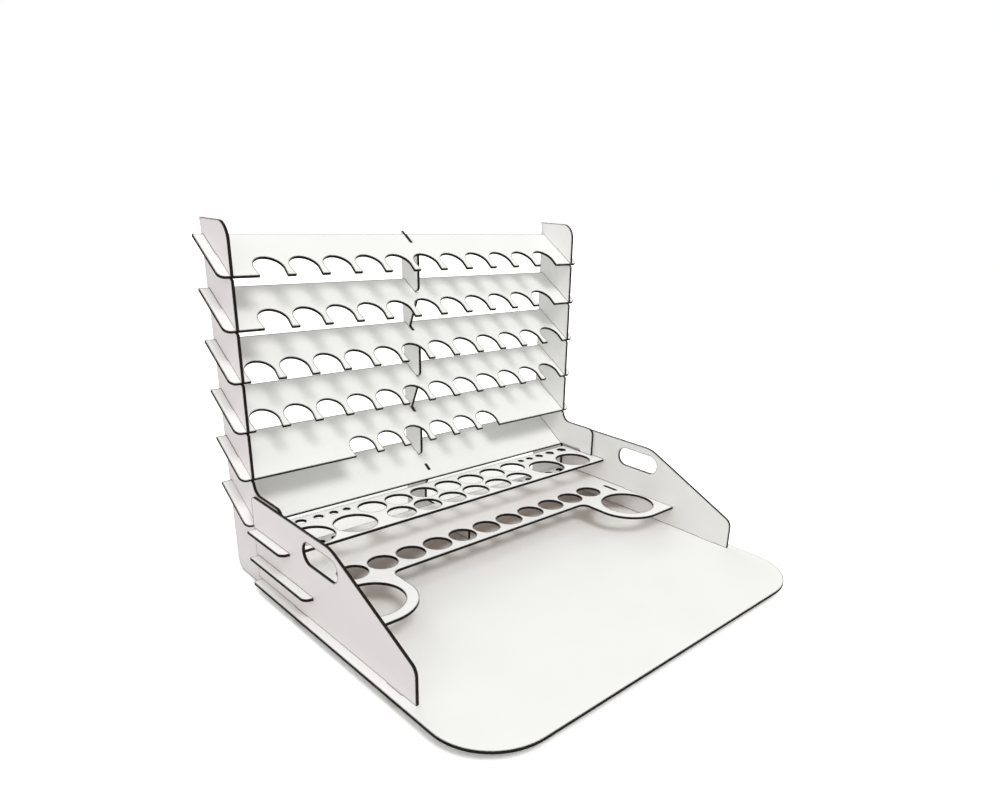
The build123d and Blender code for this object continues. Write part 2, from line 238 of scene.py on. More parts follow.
def place_group(tree, group, place, **values):
    """Puts a group into a tree. Underscores in the names of values stand for spaces."""
    node = add_node(tree, "ShaderNodeGroup", place, node_tree=group)
    for name, value in values.items():
        node.inputs[name.replace("_", " ")].default_value = value
    return node


def join(tree, source, target):
    """Link from an output socket to an input socket."""
    tree.links.new(source, target)


def maths(tree, operation, place, *terms):
    """Math node. Each term is a number or an output socket."""
    node = add_node(tree, "ShaderNodeMath", place, operation=operation)
    for slot, term in zip(node.inputs, terms):
        if isinstance(term, (int, float)):
            slot.default_value = term
        else:
            join(tree, term, slot)
    return node.outputs["Value"]


def vector_maths(tree, operation, place, *terms):
    """Vector Math node. Returns its output socket: a number for a dot product or a length, else a vector."""
    node = add_node(tree, "ShaderNodeVectorMath", place, operation=operation)
    for slot, term in zip(node.inputs, terms):
        if isinstance(term, (tuple, Vector)):
            slot.default_value = term
        else:
            join(tree, term, slot)
    return node.outputs["Value" if operation in ("DOT_PRODUCT", "LENGTH") else "Vector"]


def ramp(tree, source, place, low, high, to_low=0.0, to_high=1.0, smooth=True):
    """Map Range node from low..high to to_low..to_high, clamped."""
    kind = "SMOOTHSTEP" if smooth else "LINEAR"
    node = add_node(tree, "ShaderNodeMapRange", place, interpolation_type=kind)
    join(tree, source, node.inputs["Value"])
    for name, value in (("From Min", low), ("From Max", high), ("To Min", to_low), ("To Max", to_high)):
        node.inputs[name].default_value = value
    return node.outputs["Result"]


def noise(tree, point, seed, place, scale, detail=2.0, roughness=0.5):
    """Noise texture in four dimensions: the fourth one is the seed, so that no two boards look alike."""
    node = add_node(tree, "ShaderNodeTexNoise", place, noise_dimensions="4D")
    node.inputs["Scale"].default_value = scale
    node.inputs["Detail"].default_value = detail
    node.inputs["Roughness"].default_value = roughness
    join(tree, point, node.inputs["Vector"])
    join(tree, seed, node.inputs["W"])
    return node.outputs["Fac"]


def mix_colours(tree, factor, first, second, place, blend_type="MIX"):
    """Mix node for colours. The factor is a number or an output socket, a colour four numbers or a socket."""
    node = add_node(tree, "ShaderNodeMix", place, data_type="RGBA", blend_type=blend_type)
    for slot, value in ((node.inputs["Factor"], factor), (node.inputs[6], first), (node.inputs[7], second)):
        if isinstance(value, (float, tuple)):
            slot.default_value = value
        else:
            join(tree, value, slot)
    return node.outputs[2]


# %% [markdown]
# Every board has two kinds of surface: the two broad faces, and the narrow scorched edge that runs round its
# outline and through every hole, notch and slot. The CAD mesh holds both in one piece, so the material has
# to tell them apart. A board is a slab about a middle layer, so two things say where a point lies: the
# direction square to the board, and how far along it the middle layer is. This group turns them into masks
# for the faces and for the underside, a measure across the thickness, and the point's place within the
# layer.

# %% Group that finds faces and edges
face_limit = 0.7


def make_board_layers():
    """Group that says where a point lies on its board."""
    group, given, result = new_group(
        "board_layers",
        [("Point", "NodeSocketVector", (0, 0, 0)), ("Normal", "NodeSocketVector", (0, 0, 1)),
         ("Square To Board", "NodeSocketVector", (0, 0, 1)), ("Middle Layer", "NodeSocketFloat", 0.0),
         ("Half Thickness", "NodeSocketFloat", sheet_thickness / 2)],
        [("Face", "NodeSocketFloat"), ("Underside", "NodeSocketFloat"), ("Across", "NodeSocketFloat"),
         ("Layer Point", "NodeSocketVector")])
    square = given.outputs["Square To Board"]
    reach = vector_maths(group, "DOT_PRODUCT", (-600, 200), given.outputs["Point"], square)
    height = maths(group, "SUBTRACT", (-400, 200), reach, given.outputs["Middle Layer"])
    across = maths(group, "DIVIDE", (-200, 200), height, given.outputs["Half Thickness"])
    facing = vector_maths(group, "DOT_PRODUCT", (-600, 0), given.outputs["Normal"], square)
    turned = maths(group, "ABSOLUTE", (-400, 0), facing)
    face = maths(group, "GREATER_THAN", (-200, 0), turned, face_limit)
    underside = maths(group, "LESS_THAN", (-200, -100), facing, 0.0)
    lift = add_node(group, "ShaderNodeVectorMath", (-200, -200), operation="SCALE")
    join(group, square, lift.inputs["Vector"])
    join(group, height, lift.inputs["Scale"])
    layer_point = vector_maths(group, "SUBTRACT", (0, -200), given.outputs["Point"], lift.outputs["Vector"])
    join(group, face, result.inputs["Face"])
    join(group, underside, result.inputs["Underside"])
    join(group, across, result.inputs["Across"])
    join(group, layer_point, result.inputs["Layer Point"])
    return group


board_layers = make_board_layers()
print("group:", board_layers.name, [socket.name for socket in board_layers.interface.items_tree])

# %% [markdown]
# ## The white film
#
# The film is a thin sheet of printed white paper under a hard clear resin, rolled onto the board hot. It
# is almost even, and that "almost" is what makes it look real: broad soft clouds of tone, a very fine
# pebbling that breaks up reflections, and here and there a faint smear where a hand has held the board.
# The laser burns the film black right beside a cut, and its smoke stains it warm brown a little farther
# out, so the group takes a mask for each.

# %% Group for the white film
film_white = (0.895, 0.893, 0.882, 1.0)
film_cloud = (0.872, 0.874, 0.858, 1.0)
smoke_stain = (0.36, 0.27, 0.19, 1.0)
burnt_rim = (0.009, 0.006, 0.005, 1.0)
cloud_scale = 14.0
wisp_scale = 260.0
smear_scale = 38.0
pebble_scale = 1400.0


def make_white_film():
    """Group for the film, with its clouds, smears, smoke and burnt rim."""
    group, given, result = new_group(
        "white_film",
        [("Point", "NodeSocketVector", (0, 0, 0)), ("Seed", "NodeSocketFloat", 0.0),
         ("Near Cut", "NodeSocketFloat", 0.0), ("Stain", "NodeSocketFloat", 0.5),
         ("Burnt", "NodeSocketFloat", 0.0), ("Cast", "NodeSocketColor", (1.0, 1.0, 1.0, 1.0))],
        [("Colour", "NodeSocketColor"), ("Roughness", "NodeSocketFloat"), ("Height", "NodeSocketFloat")])
    point, seed = given.outputs["Point"], given.outputs["Seed"]
    clouds = ramp(group, noise(group, point, seed, (-700, 300), cloud_scale, 3.0), (-500, 300), 0.35, 0.75)
    cloudy = mix_colours(group, clouds, film_white, film_cloud, (-300, 300))
    # The tint input multiplies the film colour: painted shade, darker and pinker on the left boards.
    tone = mix_colours(group, 1.0, cloudy, given.outputs["Cast"], (-100, 300), "MULTIPLY")
    wisps = ramp(group, noise(group, point, seed, (-700, 100), wisp_scale, 3.0, 0.7), (-500, 100),
                 0.25, 0.8, 0.35, 1.0)
    smoke = maths(group, "MULTIPLY", (-300, 100), given.outputs["Near Cut"], wisps)
    stain = maths(group, "MULTIPLY", (-100, 100), smoke, given.outputs["Stain"])
    stained = mix_colours(group, stain, tone, smoke_stain, (100, 300))
    colour = mix_colours(group, given.outputs["Burnt"], stained, burnt_rim, (300, 300))
    smears = ramp(group, noise(group, point, seed, (-700, -100), smear_scale, 4.0, 0.65), (-500, -100),
                  0.5, 0.8, 0.38, 0.5)
    pebbles = noise(group, point, seed, (-700, -300), pebble_scale, 1.0)
    join(group, colour, result.inputs["Colour"])
    join(group, smears, result.inputs["Roughness"])
    join(group, pebbles, result.inputs["Height"])
    return group


white_film = make_white_film()
print("group:", white_film.name)

# %% [markdown]
# ## The scorched edge
#
# A laser burns its way through, so the edge is char: nearly black next to both faces, where the film has
# burnt, and a dark brown in between, where the fibreboard shows. The beam pulses as it travels and leaves
# fine ribs square to the faces. Ribs that run across the thickness depend only on the place within the
# layer, which is why the first group works that out.

# %% Group for the scorched edge
char_black = (0.0045, 0.004, 0.0038, 1.0)
fibre_brown = (0.026, 0.017, 0.012, 1.0)
rib_scale = 1500.0
char_patch_scale = 90.0
char_fibre_scale = 2600.0
fibre_relief = 0.35


def make_scorched_edge():
    """Group for the char on an edge, brown in the middle and ribbed."""
    group, given, result = new_group(
        "scorched_edge",
        [("Point", "NodeSocketVector", (0, 0, 0)), ("Layer Point", "NodeSocketVector", (0, 0, 0)),
         ("Across", "NodeSocketFloat", 0.0), ("Seed", "NodeSocketFloat", 0.0)],
        [("Colour", "NodeSocketColor"), ("Roughness", "NodeSocketFloat"), ("Height", "NodeSocketFloat")])
    seed = given.outputs["Seed"]
    ribs = noise(group, given.outputs["Layer Point"], seed, (-700, 300), rib_scale, 2.0)
    patches = noise(group, given.outputs["Layer Point"], seed, (-700, 100), char_patch_scale, 3.0)
    fibres = noise(group, given.outputs["Point"], seed, (-700, -100), char_fibre_scale, 3.0, 0.7)
    from_middle = maths(group, "ABSOLUTE", (-700, 500), given.outputs["Across"])
    band = ramp(group, from_middle, (-500, 500), 0.35, 0.95, 1.0, 0.0)
    patchy = ramp(group, patches, (-500, 100), 0.3, 0.7, 0.35, 1.0)
    ribbed = ramp(group, ribs, (-500, 300), 0.25, 0.75, 0.5, 1.0)
    brown = maths(group, "MULTIPLY", (-300, 300), maths(group, "MULTIPLY", (-300, 500), band, patchy), ribbed)
    colour = mix_colours(group, brown, char_black, fibre_brown, (100, 300))
    roughness = ramp(group, fibres, (-300, -100), 0.3, 0.7, 0.62, 0.85)
    height = maths(group, "ADD", (-100, -300), ribs,
                   maths(group, "MULTIPLY", (-300, -450), fibres, fibre_relief))
    join(group, colour, result.inputs["Colour"])
    join(group, roughness, result.inputs["Roughness"])
    join(group, height, result.inputs["Height"])
    return group


scorched_edge = make_scorched_edge()
print("group:", scorched_edge.name)

# %% [markdown]
# ## The bare underside
#
# The shelves have the film on their upper face only. Their underside is bare fibreboard: pressed wood
# fibres, mid brown, dull, with fine lighter flecks and slightly darker patches where the pressing was
# uneven. It is seen mostly by its effect, because the light under a shelf turns dim and warm, and that
# shows through the holes.

# %% Group for the bare fibreboard
board_brown = (0.30, 0.175, 0.095, 1.0)
board_fleck = (0.43, 0.29, 0.18, 1.0)
fibre_scale = 900.0
pressing_scale = 30.0


def make_bare_fibreboard():
    """Group for pressed wood fibres without a film."""
    group, given, result = new_group(
        "bare_fibreboard",
        [("Point", "NodeSocketVector", (0, 0, 0)), ("Seed", "NodeSocketFloat", 0.0)],
        [("Colour", "NodeSocketColor"), ("Roughness", "NodeSocketFloat"), ("Height", "NodeSocketFloat")])
    point, seed = given.outputs["Point"], given.outputs["Seed"]
    fibres = noise(group, point, seed, (-700, 300), fibre_scale, 4.0, 0.7)
    patches = noise(group, point, seed, (-700, 100), pressing_scale, 3.0)
    flecks = maths(group, "MULTIPLY", (-300, 300), ramp(group, fibres, (-500, 300), 0.5, 0.75),
                   ramp(group, patches, (-500, 100), 0.2, 0.8, 0.4, 1.0))
    join(group, mix_colours(group, flecks, board_brown, board_fleck, (0, 300)), result.inputs["Colour"])
    join(group, ramp(group, fibres, (-300, -100), 0.3, 0.7, 0.7, 0.9), result.inputs["Roughness"])
    join(group, fibres, result.inputs["Height"])
    return group


bare_fibreboard = make_bare_fibreboard()
print("group:", bare_fibreboard.name)

# %% [markdown]
# ## One material for each board
#
# The material asks the first group whether a point is on a face or on an edge, and chooses film or char
# with that answer. The Bevel node supplies the masks for smoke and burning: it rounds the surface's
# direction within 2 or 3 mm of a corner, so where it differs from the true direction, a cut is near. The
# Ambient Occlusion node finds the corner where two boards meet, and the film there is darkened with
# painted shade. A board's underside is film, a grey backing, or bare board. Each board has its own seed,
# because they came from different places on the sheet.

# %% Board material
corner_samples = 6
smoke_reach = 0.0026
smoke_from = 0.72
stain_strength = 0.5
burnt_from = 0.91
burnt_to = 0.985
joint_reach = 0.0035
joint_from = 0.05
joint_to = 0.55
joint_shade = (0.62, 0.60, 0.57, 1.0)
backing_grey = (0.68, 0.68, 0.67, 1.0)
film_pebble_height = 0.000004
rib_height = 0.00006
fibre_height = 0.00003
char_gloss = 0.12


def add_surface(tree, finish, height_scale, place):
    """Shader for one finish group: its colour, its roughness, and its height as a bump."""
    bump = add_node(tree, "ShaderNodeBump", (place[0] - 200, place[1] - 150))
    bump.inputs["Distance"].default_value = 1.0
    relief = maths(tree, "MULTIPLY", (place[0] - 400, place[1] - 150), finish.outputs["Height"], height_scale)
    join(tree, relief, bump.inputs["Height"])
    surface = add_node(tree, "ShaderNodeBsdfPrincipled", place)
    join(tree, finish.outputs["Roughness"], surface.inputs["Roughness"])
    join(tree, bump.outputs["Normal"], surface.inputs["Normal"])
    return surface


def add_choice(tree, factor, first, second, place):
    """Mix Shader: the first shader where the factor is 0, the second where it is 1."""
    choice = add_node(tree, "ShaderNodeMixShader", place)
    join(tree, factor, choice.inputs["Fac"])
    join(tree, first, choice.inputs[1])
    join(tree, second, choice.inputs[2])
    return choice.outputs["Shader"]


def make_board_material(name, square_to_board, middle_layer, seed, underside, painted_tint):
    """Material of one board. Its underside is "film", "backing" or "bare", and the last argument darkens and
    tints its film as painted shade.
    """
    material, tree, output = new_material(name)
    place = add_node(tree, "ShaderNodeTexCoord", (-1300, 200)).outputs["Object"]
    true_normal = add_node(tree, "ShaderNodeNewGeometry", (-1300, -200)).outputs["True Normal"]
    layers = place_group(tree, board_layers, (-1000, 0),
                         Square_To_Board=square_to_board, Middle_Layer=middle_layer)
    join(tree, place, layers.inputs["Point"])
    join(tree, true_normal, layers.inputs["Normal"])

    rounded = add_node(tree, "ShaderNodeBevel", (-1300, -450), samples=corner_samples)
    rounded.inputs["Radius"].default_value = smoke_reach
    agreement = vector_maths(tree, "DOT_PRODUCT", (-1000, -450), rounded.outputs["Normal"], true_normal)
    near_cut = ramp(tree, agreement, (-800, -450), smoke_from, 1.0, 1.0, 0.0, smooth=False)
    burnt = ramp(tree, agreement, (-800, -650), burnt_from, burnt_to, 1.0, 0.0)

    film = place_group(tree, white_film, (-500, 300), Seed=seed, Stain=stain_strength, Cast=painted_tint)
    join(tree, place, film.inputs["Point"])
    join(tree, near_cut, film.inputs["Near Cut"])
    join(tree, burnt, film.inputs["Burnt"])
    edge = place_group(tree, scorched_edge, (-500, 0), Seed=seed)
    join(tree, place, edge.inputs["Point"])
    join(tree, layers.outputs["Layer Point"], edge.inputs["Layer Point"])
    join(tree, layers.outputs["Across"], edge.inputs["Across"])

    # Painted shade: the film is darkened where the Ambient Occlusion node finds another board within a few
    # millimetres.
    joints = add_node(tree, "ShaderNodeAmbientOcclusion", (-500, 600), samples=corner_samples)
    joints.inputs["Distance"].default_value = joint_reach
    in_joint = ramp(tree, joints.outputs["AO"], (-300, 600), joint_from, joint_to, 1.0, 0.0)
    shaded_film = mix_colours(tree, in_joint, film.outputs["Colour"], joint_shade, (-100, 600), "MULTIPLY")
    if underside == "backing":
        shaded_film = mix_colours(tree, layers.outputs["Underside"], shaded_film, backing_grey, (100, 600),
                                  "MULTIPLY")

    film_surface = add_surface(tree, film, film_pebble_height, (300, 300))
    join(tree, shaded_film, film_surface.inputs["Base Color"])
    edge_surface = add_surface(tree, edge, rib_height, (300, -300))
    join(tree, edge.outputs["Colour"], edge_surface.inputs["Base Color"])
    edge_surface.inputs["Specular IOR Level"].default_value = char_gloss
    face_shader = film_surface.outputs["BSDF"]
    if underside == "bare":
        bare = place_group(tree, bare_fibreboard, (-500, -700), Seed=seed)
        join(tree, place, bare.inputs["Point"])
        bare_surface = add_surface(tree, bare, fibre_height, (300, -900))
        join(tree, bare.outputs["Colour"], bare_surface.inputs["Base Color"])
        bare_surface.inputs["Specular IOR Level"].default_value = char_gloss
        face_shader = add_choice(tree, layers.outputs["Underside"], face_shader, bare_surface.outputs["BSDF"],
                                 (550, 200))
    join(tree, add_choice(tree, layers.outputs["Face"], edge_surface.outputs["BSDF"], face_shader, (750, 0)),
         output.inputs["Surface"])
    return material


print("smoke reaches", round(smoke_reach * 1000, 1), "mm from a cut")

# %% [markdown]
# ## Three ways for a board to lie
#
# Level boards lie square to Z, upright boards stand square to X, and the rack plates are tilted about X.
# A board's own box gives its middle layer, so no place is written twice. The tilt of the rack plates can
# be read from their meshes: the largest triangle of a board lies on one of its broad sides, and its
# normal shows the slope. The film of the two boards of the left side is painted a little darker and
# pinker: painted shade, with the pink of the weak light on that side painted in.

# %% Level and upright boards
no_painted_shade = (1.0, 1.0, 1.0, 1.0)
# Painted shade: the film of the left boards is darkened and tinted pink, standing in for the weak pink light
# on that side.
painted_pink_shade = (0.935, 0.88, 0.91, 1.0)
upright_boards = ["left_arm_panel", "right_arm_panel", "left_rack_side", "right_rack_side", "centre_divider"]
level_boards = ["base_board", "upper_shelf", "lower_shelf"]
rack_plates = sorted(name for name in boards if name.startswith("rack_plate_"))


def plate_tilt(name):
    """Slope of a tilted plate, front edge low and back edge high, from the largest triangle of its mesh."""
    broad_side = max(boards[name].data.polygons, key=lambda face: face.area).normal
    return atan(abs(broad_side.y / broad_side.z))


def board_finish(name, square_to_board, seed, underside="film", painted_tint=no_painted_shade):
    """Material for the board of this name."""
    low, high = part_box(name)
    middle_layer = ((low + high) / 2).dot(square_to_board)
    return make_board_material(name + "_finish", square_to_board, middle_layer, seed, underside, painted_tint)


def finish_board(name, finish):
    """Puts this material on the board of this name."""
    board = boards[name]
    board.data.materials.clear()
    board.data.materials.append(finish)


seed = 0.0
seed_step = 7.3
for name in level_boards:
    seed += seed_step
    underside = "bare" if name.endswith("shelf") else "backing"
    finish_board(name, board_finish(name, Vector((0, 0, 1)), seed, underside=underside))
for name in upright_boards:
    seed += seed_step
    painted_tint = painted_pink_shade if name.startswith("left_") else no_painted_shade
    finish_board(name, board_finish(name, Vector((1, 0, 0)), seed, painted_tint=painted_tint))
print("rack plate tilt:", round(degrees(plate_tilt(rack_plates[0])), 2), "degrees")

# %% [markdown]
# ## Rack plates from a rule
#
# The rack plates follow one rule: a flat board with two rounded ears, a row of equal bottle notches in
# its front edge, and slots that take the upright boards. Only the number of notches changes. That makes
# them a good case for Geometry Nodes. One node tree draws the board from named sizes, and each plate is
# that tree with its own numbers. The lowest plate has no notches, so it stays as CAD made it.
#
# The tree works flat and in order: an outline with rounded ears, filled and pushed up into a slab; one
# notch cutter, copied onto a row of points; the slot cutters; one cut with all of them; and last the tilt
# and the place. First come a few helpers, so that the steps can be read as sentences.

# %% Helpers for geometry node trees
def new_shape_tree(name, sizes):
    """Geometry node tree with a named input for each size, and one for the material."""
    tree = bpy.data.node_groups.new(name, "GeometryNodeTree")
    tree.is_modifier = True
    for size_name, kind in sizes:
        tree.interface.new_socket(size_name, in_out="INPUT", socket_type=kind)
    tree.interface.new_socket("Material", in_out="INPUT", socket_type="NodeSocketMaterial")
    tree.interface.new_socket("Geometry", in_out="OUTPUT", socket_type="NodeSocketGeometry")
    given = add_node(tree, "NodeGroupInput", (-1800, 0))
    return tree, given.outputs, add_node(tree, "NodeGroupOutput", (1800, 0))


def vector_of(tree, place, x, y, z):
    """Combine XYZ node. Each part is a number or an output socket."""
    node = add_node(tree, "ShaderNodeCombineXYZ", place)
    for slot, part in zip(node.inputs, (x, y, z)):
        if isinstance(part, (int, float)):
            slot.default_value = part
        else:
            join(tree, part, slot)
    return node.outputs["Vector"]


def moved(tree, geometry, place, translation, rotation=None):
    """Transform Geometry node."""
    node = add_node(tree, "GeometryNodeTransform", place)
    join(tree, geometry, node.inputs["Geometry"])
    join(tree, translation, node.inputs["Translation"])
    if rotation is not None:
        join(tree, rotation, node.inputs["Rotation"])
    return node.outputs["Geometry"]


def joined(tree, place, *pieces):
    """Join Geometry node."""
    node = add_node(tree, "GeometryNodeJoinGeometry", place)
    for piece in pieces:
        join(tree, piece, node.inputs["Geometry"])
    return node.outputs["Geometry"]


def merged(tree, geometry, place, distance):
    """Merge by Distance node."""
    node = add_node(tree, "GeometryNodeMergeByDistance", place)
    node.inputs["Distance"].default_value = distance
    join(tree, geometry, node.inputs["Geometry"])
    return node.outputs["Geometry"]


MM = 0.001
print("one millimetre is", MM, "in Blender")

# %% [markdown]
# A slab is a closed curve, filled and pushed up. Extrude Mesh leaves the bottom open, so the filled face
# is used once more, turned over, and the two are welded into one closed skin. A bar is a plain box for
# cutting a slot.

# %% Slabs and bars
weld_distance = 0.001 * MM


def slab(tree, curve, thickness, place):
    """Closed slab on a closed curve, from Z = 0 up."""
    filled = add_node(tree, "GeometryNodeFillCurve", place, mode="NGONS")
    join(tree, curve, filled.inputs["Curve"])
    push = add_node(tree, "GeometryNodeExtrudeMesh", (place[0] + 200, place[1]), mode="FACES")
    push.inputs["Individual"].default_value = False
    join(tree, filled.outputs["Mesh"], push.inputs["Mesh"])
    join(tree, vector_of(tree, (place[0], place[1] - 200), 0.0, 0.0, 1.0), push.inputs["Offset"])
    join(tree, thickness, push.inputs["Offset Scale"])
    under = add_node(tree, "GeometryNodeFlipFaces", (place[0] + 200, place[1] - 200))
    join(tree, filled.outputs["Mesh"], under.inputs["Mesh"])
    both = joined(tree, (place[0] + 400, place[1]), push.outputs["Mesh"], under.outputs["Mesh"])
    return merged(tree, both, (place[0] + 600, place[1]), weld_distance)


def bar(tree, place, middle_x, start_y, end_y, width, height):
    """Box-shaped cutter that runs along Y, about the middle layer."""
    length = maths(tree, "SUBTRACT", place, end_y, start_y)
    cube = add_node(tree, "GeometryNodeMeshCube", (place[0] + 200, place[1]))
    join(tree, vector_of(tree, (place[0], place[1] - 150), width, length, height), cube.inputs["Size"])
    sum_y = maths(tree, "ADD", (place[0], place[1] - 300), start_y, end_y)
    middle_y = maths(tree, "MULTIPLY", (place[0] + 200, place[1] - 300), sum_y, 0.5)
    return moved(tree, cube.outputs["Mesh"], (place[0] + 400, place[1]),
                 vector_of(tree, (place[0] + 300, place[1] - 150), middle_x, middle_y, 0.0))


print("slabs are welded within", round(weld_distance / MM, 4), "mm")

# %% [markdown]
# The board is a rectangle. Fillet Curve rounds its corners, and it takes a radius for each point: the two
# points in front get the ear radius, and the two behind get none, so they stay square.

# %% Board with rounded ears
arc_steps = 18


def eared_board(tree, given):
    """Slab with its front edge on Y = 0 and its middle layer on Z = 0."""
    rectangle = add_node(tree, "GeometryNodeCurvePrimitiveQuadrilateral", (-1500, 500), mode="RECTANGLE")
    join(tree, given["Width"], rectangle.inputs["Width"])
    join(tree, given["Depth"], rectangle.inputs["Height"])
    position = add_node(tree, "GeometryNodeInputPosition", (-1700, 300))
    parts = add_node(tree, "ShaderNodeSeparateXYZ", (-1500, 300))
    join(tree, position.outputs["Position"], parts.inputs["Vector"])
    is_front = maths(tree, "LESS_THAN", (-1300, 300), parts.outputs["Y"], 0.0)
    rounded = add_node(tree, "GeometryNodeFilletCurve", (-1100, 500), mode="POLY")
    rounded.inputs["Count"].default_value = arc_steps
    join(tree, rectangle.outputs["Curve"], rounded.inputs["Curve"])
    join(tree, maths(tree, "MULTIPLY", (-1100, 300), is_front, given["Ear Radius"]), rounded.inputs["Radius"])
    board = slab(tree, rounded.outputs["Curve"], given["Thickness"], (-900, 500))
    down = maths(tree, "MULTIPLY", (-300, 300), given["Thickness"], -0.5)
    half_depth = maths(tree, "MULTIPLY", (-300, 200), given["Depth"], 0.5)
    return moved(tree, board, (0, 500), vector_of(tree, (-100, 300), 0.0, half_depth, down))


print("steps in a rounded corner:", arc_steps)

# %% [markdown]
# A notch is a round seat for a bottle, with a throat that narrows a little towards its mouth. The cutter is
# a cylinder and a trapezoid that meet at the widest place. The throat's sides are carried on past the front
# edge along their own slope, because two cutters with nearly the same wall leave slivers.

# %% One notch cutter
over = 4 * MM


def notch_cutter(tree, given, tall):
    """Cutter for a notch at X = 0 that opens towards -Y."""
    radius = given["Notch Radius"]
    centre = maths(tree, "SUBTRACT", (-1400, 0), given["Notch Depth"], radius)
    seat = add_node(tree, "GeometryNodeMeshCylinder", (-1200, 0), fill_type="NGON")
    seat.inputs["Vertices"].default_value = 4 * arc_steps
    join(tree, radius, seat.inputs["Radius"])
    join(tree, tall, seat.inputs["Depth"])
    seat = moved(tree, seat.outputs["Mesh"], (-1000, 0), vector_of(tree, (-1200, -250), 0.0, centre, 0.0))

    widest = maths(tree, "MULTIPLY", (-2200, -450), radius, 2.0)
    widening = maths(tree, "SUBTRACT", (-2000, -450), widest, given["Notch Mouth"])
    taper = maths(tree, "DIVIDE", (-1800, -450), widening, centre)
    beyond_mouth = maths(tree, "MULTIPLY", (-1600, -700), taper, over)
    throat = add_node(tree, "GeometryNodeCurvePrimitiveQuadrilateral", (-1400, -450), mode="TRAPEZOID")
    join(tree, maths(tree, "ADD", (-1600, -850), centre, over), throat.inputs["Height"])
    join(tree, maths(tree, "SUBTRACT", (-1600, -600), given["Notch Mouth"], beyond_mouth),
         throat.inputs["Bottom Width"])
    join(tree, widest, throat.inputs["Top Width"])
    throat.inputs["Offset"].default_value = 0.0
    throat = slab(tree, throat.outputs["Curve"], tall, (-1200, -450))
    sink = maths(tree, "MULTIPLY", (-800, -650), tall, -0.5)
    reach = maths(tree, "SUBTRACT", (-1000, -750), centre, over)
    middle = maths(tree, "MULTIPLY", (-800, -750), reach, 0.5)
    throat = moved(tree, throat, (-400, -450), vector_of(tree, (-600, -650), 0.0, middle, sink))
    return joined(tree, (-200, -300), seat, throat)


print("sides of a round seat:", 4 * arc_steps)
print("cutters reach", round(over / MM, 1), "mm past what they cut")

# %% [markdown]
# Mesh Line makes as many points as there are notches, one pitch apart and centred, and Instance on Points
# puts a cutter on each. The three slots are bars that come in from the back edge: one for the divider in
# the middle, and one near each end for the rack sides.

# %% Row of notches, and slots
def notch_row(tree, given, cutter):
    """The cutter copied along the front edge."""
    gaps = maths(tree, "SUBTRACT", (-600, -1200), given["Notch Count"], 1.0)
    row_length = maths(tree, "MULTIPLY", (-600, -1300), gaps, given["Notch Pitch"])
    first = maths(tree, "MULTIPLY", (-400, -1200), row_length, -0.5)
    row = add_node(tree, "GeometryNodeMeshLine", (0, -1100), mode="OFFSET")
    join(tree, given["Notch Count"], row.inputs["Count"])
    join(tree, vector_of(tree, (-200, -1200), first, 0.0, 0.0), row.inputs["Start Location"])
    join(tree, vector_of(tree, (-200, -1350), given["Notch Pitch"], 0.0, 0.0), row.inputs["Offset"])
    copies = add_node(tree, "GeometryNodeInstanceOnPoints", (200, -800))
    join(tree, row.outputs["Mesh"], copies.inputs["Points"])
    join(tree, cutter, copies.inputs["Instance"])
    notches = add_node(tree, "GeometryNodeRealizeInstances", (400, -800))
    join(tree, copies.outputs["Instances"], notches.inputs["Geometry"])
    return notches.outputs["Geometry"]


def slot_cutters(tree, given, tall):
    """Bars for the middle slot and the two side slots."""
    past_back = maths(tree, "ADD", (-200, -1600), given["Depth"], over)
    right = given["Side Slot Place"]
    left = maths(tree, "MULTIPLY", (-200, -1750), right, -1.0)
    starts = ((0.0, given["Middle Slot Start"]), (left, given["Side Slot Start"]),
              (right, given["Side Slot Start"]))
    return [bar(tree, (100, -1500 - 450 * index), x, start, past_back, given["Slot Width"], tall)
            for index, (x, start) in enumerate(starts)]


# %% [markdown]
# The whole tree puts the steps together. After the cut, points that fell on nearly the same spot are
# merged, and the skin is split into triangles while it still lies flat, because one huge face with many
# notches in its outline may otherwise be split wrongly later. Only then is the plate tilted about its
# front edge and put in its place.

# %% Whole plate
clean_distance = 0.005 * MM


def make_notched_plate():
    """The node tree that every notched plate uses."""
    lengths = ["Width", "Depth", "Thickness", "Ear Radius", "Notch Pitch", "Notch Radius", "Notch Depth",
               "Notch Mouth", "Slot Width", "Side Slot Place", "Side Slot Start", "Middle Slot Start", "Tilt"]
    sizes = [(name, "NodeSocketFloat") for name in lengths]
    sizes += [("Notch Count", "NodeSocketInt"), ("Place", "NodeSocketVector")]
    tree, given, result = new_shape_tree("notched_plate", sizes)
    tall = maths(tree, "ADD", (-1600, -900), given["Thickness"], 2 * over)
    board = eared_board(tree, given)
    notches = notch_row(tree, given, notch_cutter(tree, given, tall))
    slots = slot_cutters(tree, given, tall)

    cut = add_node(tree, "GeometryNodeMeshBoolean", (900, 0), operation="DIFFERENCE", solver="EXACT")
    cut.inputs["Self Intersection"].default_value = True
    join(tree, board, cut.inputs["Mesh 1"])
    join(tree, joined(tree, (700, -500), notches, *slots), cut.inputs["Mesh 2"])
    triangles = add_node(tree, "GeometryNodeTriangulate", (1100, 200))
    join(tree, merged(tree, cut.outputs["Mesh"], (1000, 200), clean_distance), triangles.inputs["Mesh"])
    turn_about_x = vector_of(tree, (950, -250), given["Tilt"], 0.0, 0.0)
    placed = moved(tree, triangles.outputs["Mesh"], (1150, 0), given["Place"], turn_about_x)

    whole = add_node(tree, "GeometryNodeRealizeInstances", (1350, 0))
    join(tree, placed, whole.inputs["Geometry"])
    painted = add_node(tree, "GeometryNodeSetMaterial", (1550, 0))
    join(tree, whole.outputs["Geometry"], painted.inputs["Geometry"])
    join(tree, given["Material"], painted.inputs["Material"])
    join(tree, painted.outputs["Geometry"], result.inputs["Geometry"])
    return tree


